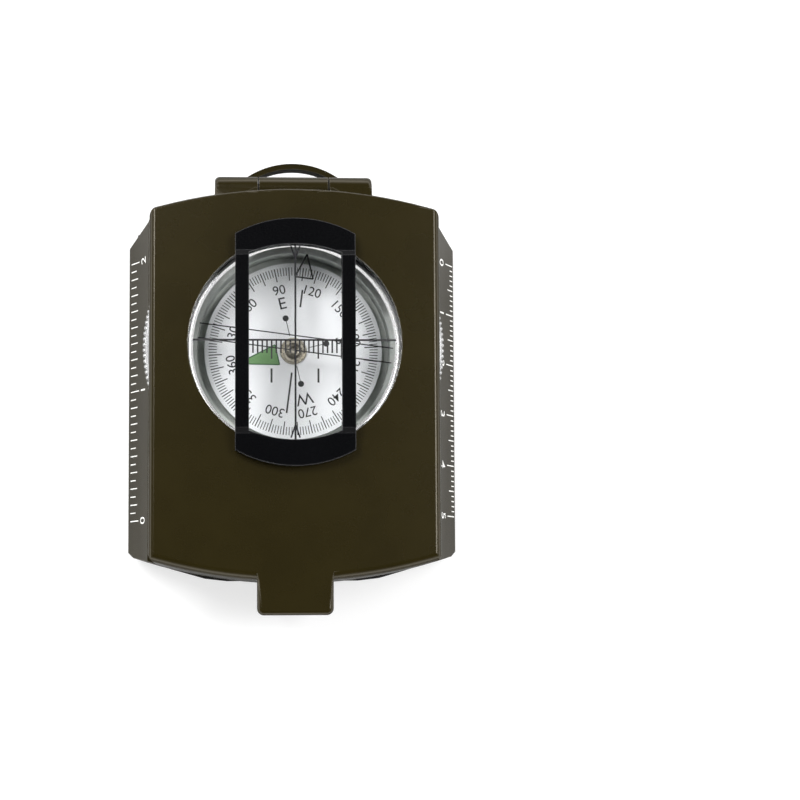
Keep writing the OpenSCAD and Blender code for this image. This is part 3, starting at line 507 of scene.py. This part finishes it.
# Bezel glass: a clear disc with the index printed under it: an outlined
# arrowhead with its dash, an opposite dash, and two lines across the dial.
# Each index line has its two ends (x, y, x, y) and its width.
INDEX_Z = 17.86
INDEX_TURN = -7.4
INDEX_SHIFT = (0.3, 0.9)
INDEX_LINES = [
    (-1.75, 12.8, 0, 17.4, 0.32),
    (0, 17.4, 1.75, 12.8, 0.32),
    (-1.75, 12.8, 1.75, 12.8, 0.32),
    (0, 7, 0, 10.4, 0.34),
    (0, -5.8, 0, -13.7, 0.34),
    (-18.8, -1.43, 18.8, -1.43, 0.23),
    (-18.8, 1.43, 18.8, 1.43, 0.23),
]


def turned_strip(form, turn, x0, y0, x1, y1, width, z, shift=(0, 0)):
    """Adds a printed line between two points of a dial turned by degrees."""
    middle = at(*shift, z, turn) @ at((x0 + x1) / 2, (y0 + y1) / 2, 0)
    lean = math.degrees(math.atan2(-(x1 - x0), y1 - y0))
    length = math.hypot(x1 - x0, y1 - y0)
    strip(form, middle @ at(0, 0, 0, lean), width, length)


finish_node("bezel_glass", clear_glass("bezel_glass", GLASS_TINT))
form = bmesh.new()
for line in INDEX_LINES:
    turned_strip(form, INDEX_TURN, *line, INDEX_Z, INDEX_SHIFT)
printed("index_marks", form, black_ink, "bezel")


# Compass card: a pale printed disc carried by two bar magnets on a jewel and
# pivot, with a degree scale, letters and a green north arrow. It has come to
# rest with north towards the inch scale's side.
CARD_TOP = 12.11
NORTH = 103
TICK_END = 16.5
TICK_STEP = 2
TENS_START = 13.9
TENS_WIDTH = 0.2
TWOS_START = 14.9
TWOS_WIDTH = 0.15
FIGURE_AT = 12.2
FIGURE_HEIGHT = 1.8
FIGURE_WEIGHT = 0.004
CAPITAL_SHARE = 0.7
LETTER_AT = 9.5
LETTER_HEIGHT = 2.3
DOT_AT = 6.6
DOT_R = 0.6
STEM_AT = 4.7
STEM_WIDTH = 0.14
STEM_LENGTH = 3.4
ARROW = [(0, 11.2), (-2, 3.2), (2, 3.2)]
ARROW_LINE = 0.22
ARROW_LIFT = 0.01


def lettering(form, words, height, spot):
    """Adds figures or letters as a flat mesh, centred on their spot."""
    text = bpy.data.curves.new("letters", "FONT")
    text.body = words
    text.size = height / CAPITAL_SHARE * MM
    text.align_x = "CENTER"
    text.align_y = "CENTER"
    text.offset = FIGURE_WEIGHT * height * MM
    drawn = bpy.data.objects.new("letters", text)
    mesh = bpy.data.meshes.new_from_object(drawn)
    mesh.transform(spot)
    form.from_mesh(mesh)
    bpy.data.objects.remove(drawn)
    bpy.data.meshes.remove(mesh)
    bpy.data.curves.remove(text)


def on_card(angle, radius):
    """A place on the card, clockwise from north, with its y axis outwards."""
    return at(0, 0, CARD_TOP, NORTH - angle) @ at(0, radius, 0)


card_white = mottled(
    "card_white", (0.87, 0.89, 0.91), (0.92, 0.93, 0.95), patch=0.5 * MM, rough=0.6,
    bump=0.15, depth=0.004 * MM,
)
finish_node("compass_card", card_white)
form = bmesh.new()
for angle in range(0, 360, TICK_STEP):
    inner, width = (TENS_START, TENS_WIDTH) if angle % 10 == 0 else (TWOS_START, TWOS_WIDTH)
    strip(form, on_card(angle, (inner + TICK_END) / 2), width, TICK_END - inner)
for angle in range(30, 390, 30):
    lettering(form, str(angle), FIGURE_HEIGHT, on_card(angle, FIGURE_AT))
for angle, letter in ((90, "E"), (180, "S"), (270, "W")):
    lettering(form, letter, LETTER_HEIGHT, on_card(angle, LETTER_AT))
    bmesh.ops.create_circle(
        form, cap_ends=True, segments=20, radius=DOT_R * MM, matrix=on_card(angle, DOT_AT)
    )
    strip(form, on_card(angle, STEM_AT), STEM_WIDTH, STEM_LENGTH)
printed("card_figures", form, black_ink, "card")

green_ink = ink("green_ink", (0.13, 0.29, 0.1), (0.19, 0.37, 0.15))
form = bmesh.new()
form.faces.new([form.verts.new(on_card(0, 0) @ (Vector((*corner, 0)) * MM)) for corner in ARROW])
printed("north_arrow", form, green_ink, "card")

green_edge = ink("green_edge", (0.02, 0.09, 0.03), (0.04, 0.13, 0.05))
form = bmesh.new()
for start, end in zip(ARROW, ARROW[1:] + ARROW[:1]):
    turned_strip(form, NORTH, *start, *end, ARROW_LINE, CARD_TOP + ARROW_LIFT)
printed("north_outline", form, green_edge, "card")


# Card hub, jewel and pivot: a turned brass hub with a raised rim and a
# countersunk centre, running on a hard jewel over a brass post, with two dull
# magnets under the card.
HUB_STEPS = 72
HUB_PROFILE = [
    (0, 12.35), (0.5, 12.4), (0.75, 12.62), (1.0, 12.7), (1.25, 12.62), (1.6, 12.38),
    (2.15, 12.38), (2.3, 12.52), (2.5, 12.52), (2.6, 12.4), (2.6, 12.1), (1.6, 12.1),
    (1.6, 10.9), (0.95, 10.9), (0.95, 11.8), (0, 11.8),
]
turned_brass = brushed_metal(
    "turned_brass", (0.42, 0.39, 0.32), (0.55, 0.51, 0.43), rough=0.3, stretch=(1, 1, 6),
    size=0.3 * MM, spread=0.05,
)
form = bmesh.new()
corners = [Vector((radius, 0, z)) for radius, z in HUB_PROFILE]
turned(form, corners, Vector((0, 0, 0)), (0, 0, 1), HUB_STEPS, closed=False)
hub = smooth_piece(new_piece("card_hub_turning", form, turned_brass))
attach(hub, "card")
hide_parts("card_hub")
finish_node("pivot_post", turned_brass)
jewel = mottled("jewel", (0.25, 0.01, 0.03), (0.45, 0.03, 0.07), patch=0.5 * MM, rough=0.08)
finish_node("card_jewel", jewel)
finish_node("card_magnets", dark_steel)


# Liquid capsule: a spun metal bowl lacquered pale grey-green inside, closed
# by a glass on a pale rubber gasket and a lock ring.
capsule_lacquer = mottled(
    "capsule_lacquer", (0.5, 0.53, 0.5), (0.58, 0.61, 0.58), patch=1.2 * MM, rough=0.4,
    bump=0.2, depth=0.01 * MM,
)
finish_node("capsule_bowl", capsule_lacquer)
finish_node("capsule_lock_ring", turned_silver)
pale_rubber = mottled(
    "pale_rubber", (0.55, 0.58, 0.55), (0.66, 0.69, 0.66), patch=0.6 * MM, rough=0.6,
    bump=0.2, depth=0.01 * MM,
)
finish_node("capsule_gasket", pale_rubber)
finish_node("capsule_glass", clear_glass("capsule_glass", (0.05, 0.08, 0.07)))


# Base: the lower casting in the same olive paint, with a sloping ruler flank
# on each side and the ears for the hinge pin and the bail.
BASE_EDGE = 0.14 * MM
base = eased_copy("base_body", "base_casting", BASE_EDGE, olive_paint)
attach(base, "base")
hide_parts("base_body")
finish_node("hinge_pin", dark_steel)


# Hinge washers: two thin blackened friction washers that fill the gaps
# between the hinge barrels and keep the lid where it is left. Their black
# also stands in for the shade in those gaps, as painted shade.
WASHER_AT = 6.85
WASHER_T = 0.2
WASHER_BORE = 0.82
WASHER_R = 2.05
WASHER_STEPS = 48
washer_and_gap_shade = brushed_metal(
    "washer_and_gap_shade", grey(0.01), grey(0.025), rough=0.5, stretch=(0.2, 1, 1)
)
form = bmesh.new()
hinge_spot = Vector((0, *HINGE_AXIS))
for side in (-1, 1):
    section = [
        (-WASHER_T / 2, WASHER_BORE), (WASHER_T / 2, WASHER_BORE),
        (WASHER_T / 2, WASHER_R), (-WASHER_T / 2, WASHER_R),
    ]
    corners = [hinge_spot + Vector((side * WASHER_AT + x, 0, radius)) for x, radius in section]
    turned(form, corners, hinge_spot, (1, 0, 0), WASHER_STEPS)
washers_and_gap_shade = smooth_piece(new_piece("hinge_washers_and_gap_shade", form, washer_and_gap_shade))
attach(washers_and_gap_shade, "base")


# Deck seals: thin black strips glued inside the lid's walls, which close the
# parting line. Their black also stands in for the shade in that line, as a
# dark sheet. The turning bezel breaks them in the middle of each side.
SEAL_AT = 26.15
SEAL_LOW = 14.4
SEAL_WIDTH = 0.5
SEAL_HEIGHT = 0.4
SEAL_EDGE = 0.08 * MM
SEAL_SPANS = [(-41, -13.6), (13.6, 26.5)]
form = bmesh.new()
for side in (-1, 1):
    for y0, y1 in SEAL_SPANS:
        middle = Vector((side * SEAL_AT, (y0 + y1) / 2, SEAL_LOW + SEAL_HEIGHT / 2))
        shape = Matrix.Diagonal((SEAL_WIDTH * MM, (y1 - y0) * MM, SEAL_HEIGHT * MM, 1))
        bmesh.ops.create_cube(form, size=1, matrix=Matrix.Translation(middle * MM) @ shape)
bevel_edges(form, list(form.edges), SEAL_EDGE)
seals_and_parting_shade = smooth_piece(new_piece("deck_seals_and_parting_shade", form, gasket_rubber))
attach(seals_and_parting_shade, "base")


# Rulers: printed white on the sloping flanks, centimetres on one side and
# inches on the other, with their figures' heads towards the outer edge. Mark
# heights go by (every, height) pairs, tallest first.
FLANK_LOW = (32.2, 4.1)
FLANK_HIGH = (28.1, 13.2)
PRINT_LIFT = 0.012
MARK_WIDTH = 0.22
RULER_FIGURE_HEIGHT = 2.2
CM_ZERO = 17.9
CM_LOW = 4.6
CM_HEIGHTS = [(10, 8.3), (5, 7.35), (1, 6.05)]
CM_FIGURE_Z = 10.55
INCH_ZERO = -32.9
INCH_LOW = 5.1
INCH_HEIGHTS = [(16, 8.9), (2, 8.2), (1, 7.5)]
INCH_FIGURE_Z = 10.9
SIXTEENTH = 25.4 / 16
white_ink = ink("white_ink", (0.72, 0.72, 0.69), (0.82, 0.82, 0.8))
slope = Vector((FLANK_HIGH[0] - FLANK_LOW[0], 0, FLANK_HIGH[1] - FLANK_LOW[1])).normalized()
facing = Vector((slope.z, 0, -slope.x))


def on_flank(side, y, z):
    """A place on a flank at a height, with its y axis down the slope."""
    x = FLANK_LOW[0] + (z - FLANK_LOW[1]) / slope.z * slope.x
    down = Vector((-slope.x * side, 0, -slope.z))
    out = Vector((facing.x * side, 0, facing.z))
    along = down.cross(out)
    spot = Vector((x * side, y, z)) + out * PRINT_LIFT
    return Matrix.Translation(spot * MM) @ Matrix((along, down, out)).transposed().to_4x4()


def ruler(form, side, zero, step, marks, whole, low, heights, figure_z):
    """Adds a ruler's marks, from low up to their heights, and a figure at each whole unit."""
    for count in range(marks + 1):
        top = next(height for every, height in heights if count % every == 0)
        spot = on_flank(side, zero + side * -step * count, (low + top) / 2)
        strip(form, spot, MARK_WIDTH, (top - low) / slope.z)
    for count in range(0, marks + 1, whole):
        spot = on_flank(side, zero + side * -step * count, figure_z)
        lettering(form, str(count // whole), RULER_FIGURE_HEIGHT, spot)


form = bmesh.new()
ruler(form, 1, CM_ZERO, 1, 50, 10, CM_LOW, CM_HEIGHTS, CM_FIGURE_Z)
ruler(form, -1, INCH_ZERO, SIXTEENTH, 32, 16, INCH_LOW, INCH_HEIGHTS, INCH_FIGURE_Z)
printed("ruler_marks", form, white_ink, "base")


# Bottom cover: a moulded black rubber plate with bevelled ends, held by four
# cross-head screws.
COVER_EDGE = 0.25 * MM
cover_rubber = mottled(
    "cover_rubber", grey(0.004), grey(0.012), patch=0.3 * MM, rough=0.62,
    bump=0.5, depth=0.02 * MM,
)
cover = eased_copy("bottom_cover", "bottom_plate", COVER_EDGE, cover_rubber)
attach(cover, "base")
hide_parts("bottom_cover")
finish_node("cover_screws", dark_steel)


# Bail: a bent steel strap in a duller olive paint, turning on two bright pins
# with cone-shaped heads.
BAIL_EDGE = 0.35 * MM
# The lighter edge colour is partly wear and partly a painted highlight.
strap_paint = baked_paint(
    "strap_paint", dark=(0.012, 0.009, 0.0012), light=(0.015, 0.0112, 0.002),
    worn_and_highlight=(0.05, 0.045, 0.03), gloss=0.5, shine=0.05, tint=(1, 0.92, 0.78),
)
bail = eased_copy("bail", "bail_strap", BAIL_EDGE, strap_paint)
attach(bail, "bail")
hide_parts("bail")
polished_steel = brushed_metal(
    "polished_steel", (0.66, 0.66, 0.68), (0.8, 0.8, 0.82), rough=0.16, stretch=(0.2, 1, 1),
    size=0.3 * MM,
)
finish_node("bail_pins", polished_steel)


# Eyepiece: a black painted block with a magnifying lens, folded down under
# the thumb tab on its own bracket.
EYEPIECE_EDGE = 0.3 * MM
BRACKET_EDGE = 0.12 * MM
eyepiece = eased_copy("eyepiece_housing", "eyepiece_block", EYEPIECE_EDGE, black_paint)
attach(eyepiece, "eyepiece")
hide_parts("eyepiece_housing")
bracket = eased_copy("eyepiece_bracket", "eyepiece_ears", BRACKET_EDGE, black_paint)
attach(bracket, "base")
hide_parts("eyepiece_bracket")
lens_glass = clear_glass("lens_glass", (0.3, 0.36, 0.38), head_on=0.25, edge_on=0.8)
finish_node("eyepiece_lens", lens_glass)
finish_node("lens_ring", dark_steel)
finish_node("eyepiece_pin", ground_steel)
finish_node("bracket_screws", dark_steel)


# Spirit level: a black body screwed to the deck, with a glass vial of green
# fluid between two black hair lines.
LEVEL_EDGE = 0.15 * MM
level = eased_copy("level_body", "level_housing", LEVEL_EDGE, black_paint)
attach(level, "base")
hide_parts("level_body")
level_fluid = clear_glass("level_fluid", (0.4, 0.7, 0.08), head_on=0.7, edge_on=0.9)
finish_node("level_vial", level_fluid)
finish_node("level_screws", ground_steel)


# Studio: a pale floor that the camera sees white, and two soft white lamps.
# The surround is plain white to the camera. Elsewhere it is bright low down
# and dark overhead, so that rounded edges catch light and flat paint stays deep.
FLOOR_HALF = 1.5
FLOOR_DROP = 0.05 * MM
FLOOR_TONE = 0.45
FLOOR_GLOW = 0.6
SKY = 4
LAMP_SIZE = 0.3
floor_form = bmesh.new()
bmesh.ops.create_grid(floor_form, x_segments=1, y_segments=1, size=FLOOR_HALF)
floor_white, nodes, links, shader = finish_nodes("floor_white")
shader.inputs["Base Color"].default_value = (*grey(FLOOR_TONE), 1)
shader.inputs["Roughness"].default_value = 0.6
rays = nodes.new("ShaderNodeLightPath")
plain = nodes.new("ShaderNodeMath")
plain.operation = "MAXIMUM"
seen = nodes.new("ShaderNodeMath")
seen.operation = "MULTIPLY"
seen.inputs[1].default_value = FLOOR_GLOW
glow = nodes.new("ShaderNodeEmission")
total = nodes.new("ShaderNodeAddShader")
links.new(rays.outputs["Is Camera Ray"], plain.inputs[0])
links.new(rays.outputs["Is Transmission Ray"], plain.inputs[1])
links.new(plain.outputs[0], seen.inputs[0])
links.new(seen.outputs[0], glow.inputs["Strength"])
links.new(shader.outputs["BSDF"], total.inputs[0])
links.new(glow.outputs["Emission"], total.inputs[1])
links.new(total.outputs["Shader"], nodes["Material Output"].inputs["Surface"])
floor = new_piece("floor", floor_form, floor_white)
floor.data.transform(Matrix.Translation((0, 0, -FLOOR_DROP)))

world = bpy.data.worlds.new("studio")
bpy.context.scene.world = world
world.use_nodes = True
nodes = world.node_tree.nodes
links = world.node_tree.links
rays = nodes.new("ShaderNodeLightPath")
sky = nodes.new("ShaderNodeTexCoord")
height = nodes.new("ShaderNodeSeparateXYZ")
links.new(sky.outputs["Generated"], height.inputs["Vector"])
walls = ramp(nodes, links, height.outputs["Z"], [
    (0.05, grey(0.78)), (0.32, grey(0.72)), (0.5, grey(0.15)), (0.7, grey(0.04)), (1, grey(0.02)),
])
seen = nodes.new("ShaderNodeMix")
seen.data_type = "RGBA"
seen.inputs["B"].default_value = (*grey(1 / SKY), 1)
links.new(rays.outputs["Is Camera Ray"], seen.inputs["Factor"])
links.new(walls, seen.inputs["A"])
links.new(seen.outputs["Result"], nodes["Background"].inputs["Color"])
nodes["Background"].inputs["Strength"].default_value = SKY


def soft_lamp(name, spot, watts):
    """A square soft box that faces the compass."""
    light = bpy.data.lights.new(name, "AREA")
    light.size = LAMP_SIZE
    light.energy = watts
    lamp = bpy.data.objects.new(name, light)
    bpy.context.scene.collection.objects.link(lamp)
    lamp.location = spot
    lamp.rotation_euler = (-Vector(spot)).to_track_quat("-Z", "Y").to_euler()


soft_lamp("key", (-0.3, 0.26, 0.7), 4.6)
soft_lamp("fill", (0.36, 0.08, 0.7), 3)

# Light crosses the lid, bezel and capsule glasses on its way in and out.
bpy.context.scene.cycles.transparent_max_bounces = 32
bpy.context.scene.view_settings.view_transform = "Standard"
